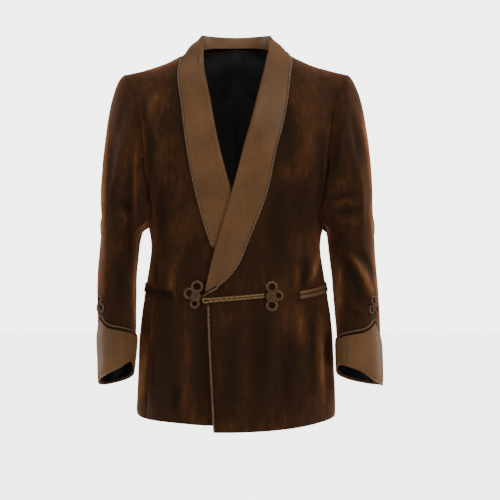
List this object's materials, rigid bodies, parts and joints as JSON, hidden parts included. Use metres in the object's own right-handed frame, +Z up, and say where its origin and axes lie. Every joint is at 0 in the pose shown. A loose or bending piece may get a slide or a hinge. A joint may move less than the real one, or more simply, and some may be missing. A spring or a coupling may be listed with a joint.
{
  "type": "smoking jacket",
  "caption": "Velvet smoking jacket with a wrapped front, satin shawl collar, turned-back satin cuffs with a peak, corded edges and a corded frog closure.",
  "frame": {"origin": "middle of the neck at shoulder height, where the wearer's shoulders hold the jacket up", "axes": "+Z up, the front faces -Y, the wearer's left is +X"},
  "size_m": [0.5564, 0.2638, 0.7733],
  "materials": {
    "velvet": "dark brown cotton velvet",
    "satin": "brown ribbed silk satin",
    "cord": "twisted golden brown cord"
  },
  "bodies": {
    "root": {"left_front": "velvet", "left_side": "velvet", "left_back": "velvet", "left_top_sleeve": "velvet", "left_under_sleeve": "velvet", "right_front": "velvet", "right_side": "velvet", "right_back": "velvet", "right_top_sleeve": "velvet", "right_under_sleeve": "velvet", "right_pocket_upper_jet": "velvet", "right_pocket_lower_jet": "velvet", "left_collar": "satin", "left_cuff": "satin", "right_collar": "satin", "right_cuff": "satin", "left_pocket_upper_jet": "satin", "left_pocket_lower_jet": "satin", "frog_bridge": "cord", "front_edge_cord": "cord", "left_collar_cord": "cord", "left_cuff_cord": "cord", "left_cuff_frog": "cord", "left_frog": "cord", "right_collar_cord": "cord", "right_cuff_cord": "cord", "right_cuff_frog": "cord", "right_frog": "cord"}
  },
  "joints": []
}
